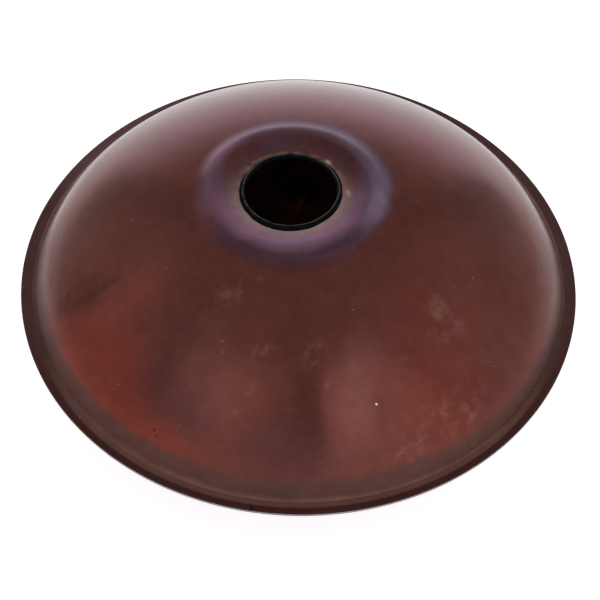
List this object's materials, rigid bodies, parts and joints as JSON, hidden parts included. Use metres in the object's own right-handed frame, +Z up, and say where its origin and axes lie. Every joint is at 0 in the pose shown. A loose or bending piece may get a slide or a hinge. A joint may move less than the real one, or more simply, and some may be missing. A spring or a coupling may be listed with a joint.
{
  "type": "handpan",
  "caption": "Lens-shaped steel handpan lying note side down: a round port in a raised ring on top, a flat bonded rim, and tone fields with dimples below.",
  "frame": {"origin": "centre of the bounding box's bottom face: on the floor, under the middle of the centre note's dimple, on the axis of the rim", "axes": "+Z up through the port side, along the axis of the rim; the port lies a little towards -X"},
  "size_m": [0.53, 0.53, 0.2221],
  "materials": {
    "port_side_steel": "satin, heat-coloured oxide, reddish brown with violet round the port",
    "note_side_steel": "satin, heat-coloured oxide, reddish brown",
    "edging_rubber": "satin black rubber",
    "rim_adhesive": "dark cured adhesive"
  },
  "bodies": {
    "root": {"port_shell": "port_side_steel", "note_shell": "note_side_steel", "port_trim": "edging_rubber", "rim_bond": "rim_adhesive"}
  },
  "joints": []
}
